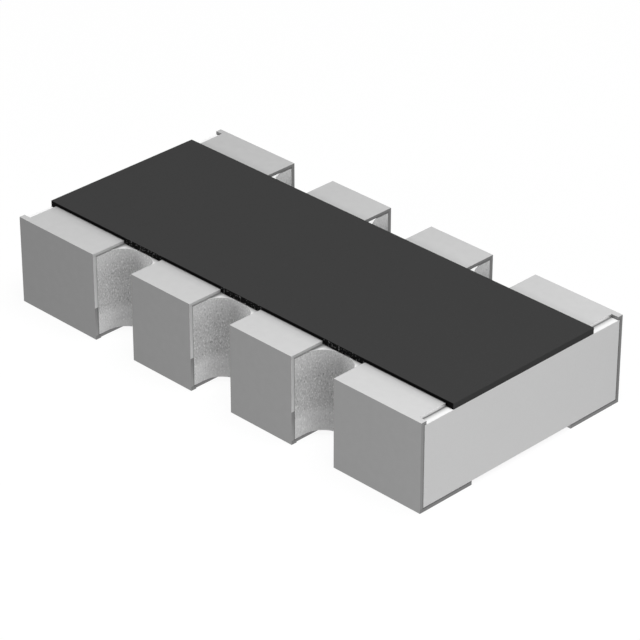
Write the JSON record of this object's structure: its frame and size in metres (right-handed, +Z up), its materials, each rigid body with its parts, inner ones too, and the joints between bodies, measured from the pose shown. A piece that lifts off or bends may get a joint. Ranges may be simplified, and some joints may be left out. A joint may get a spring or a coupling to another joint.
{
  "type": "resistor network",
  "caption": "Surface-mount resistor network: a notched ceramic chip with wrap-around tin terminals on both long sides and a flat black overcoat.",
  "frame": {"origin": "middle of the chip on the plane of the terminals' undersides", "axes": "+X along the row of terminals, +Y across the chip towards its back long side, +Z up, out of the circuit board"},
  "size_m": [0.0032, 0.0016, 0.0006],
  "materials": {
    "alumina": "fired, matte, off-white",
    "black_overcoat": "screen printed and cured, matte black",
    "tin_plate": "electroplated matte tin",
    "nickel_plate": "electroplated nickel barrier",
    "silver_conductor": "printed and fired silver palladium",
    "resistive_film": "printed and fired ruthenium oxide film",
    "passivation_glass": "printed and fired dark green glass"
  },
  "bodies": {
    "root": {"substrate": "alumina", "overcoat": "black_overcoat", "resistor_film_1": "resistive_film", "glass_coat_1": "passivation_glass", "top_conductor_front_1": "silver_conductor", "side_conductor_front_1": "silver_conductor", "bottom_conductor_front_1": "silver_conductor", "nickel_barrier_front_1": "nickel_plate", "tin_terminal_front_1": "tin_plate", "top_conductor_back_1": "silver_conductor", "side_conductor_back_1": "silver_conductor", "bottom_conductor_back_1": "silver_conductor", "nickel_barrier_back_1": "nickel_plate", "tin_terminal_back_1": "tin_plate", "resistor_film_2": "resistive_film", "glass_coat_2": "passivation_glass", "top_conductor_front_2": "silver_conductor", "side_conductor_front_2": "silver_conductor", "bottom_conductor_front_2": "silver_conductor", "nickel_barrier_front_2": "nickel_plate", "tin_terminal_front_2": "tin_plate", "top_conductor_back_2": "silver_conductor", "side_conductor_back_2": "silver_conductor", "bottom_conductor_back_2": "silver_conductor", "nickel_barrier_back_2": "nickel_plate", "tin_terminal_back_2": "tin_plate", "resistor_film_3": "resistive_film", "glass_coat_3": "passivation_glass", "top_conductor_front_3": "silver_conductor", "side_conductor_front_3": "silver_conductor", "bottom_conductor_front_3": "silver_conductor", "nickel_barrier_front_3": "nickel_plate", "tin_terminal_front_3": "tin_plate", "top_conductor_back_3": "silver_conductor", "side_conductor_back_3": "silver_conductor", "bottom_conductor_back_3": "silver_conductor", "nickel_barrier_back_3": "nickel_plate", "tin_terminal_back_3": "tin_plate", "resistor_film_4": "resistive_film", "glass_coat_4": "passivation_glass", "top_conductor_front_4": "silver_conductor", "side_conductor_front_4": "silver_conductor", "bottom_conductor_front_4": "silver_conductor", "nickel_barrier_front_4": "nickel_plate", "tin_terminal_front_4": "tin_plate", "top_conductor_back_4": "silver_conductor", "side_conductor_back_4": "silver_conductor", "bottom_conductor_back_4": "silver_conductor", "nickel_barrier_back_4": "nickel_plate", "tin_terminal_back_4": "tin_plate"}
  },
  "joints": []
}
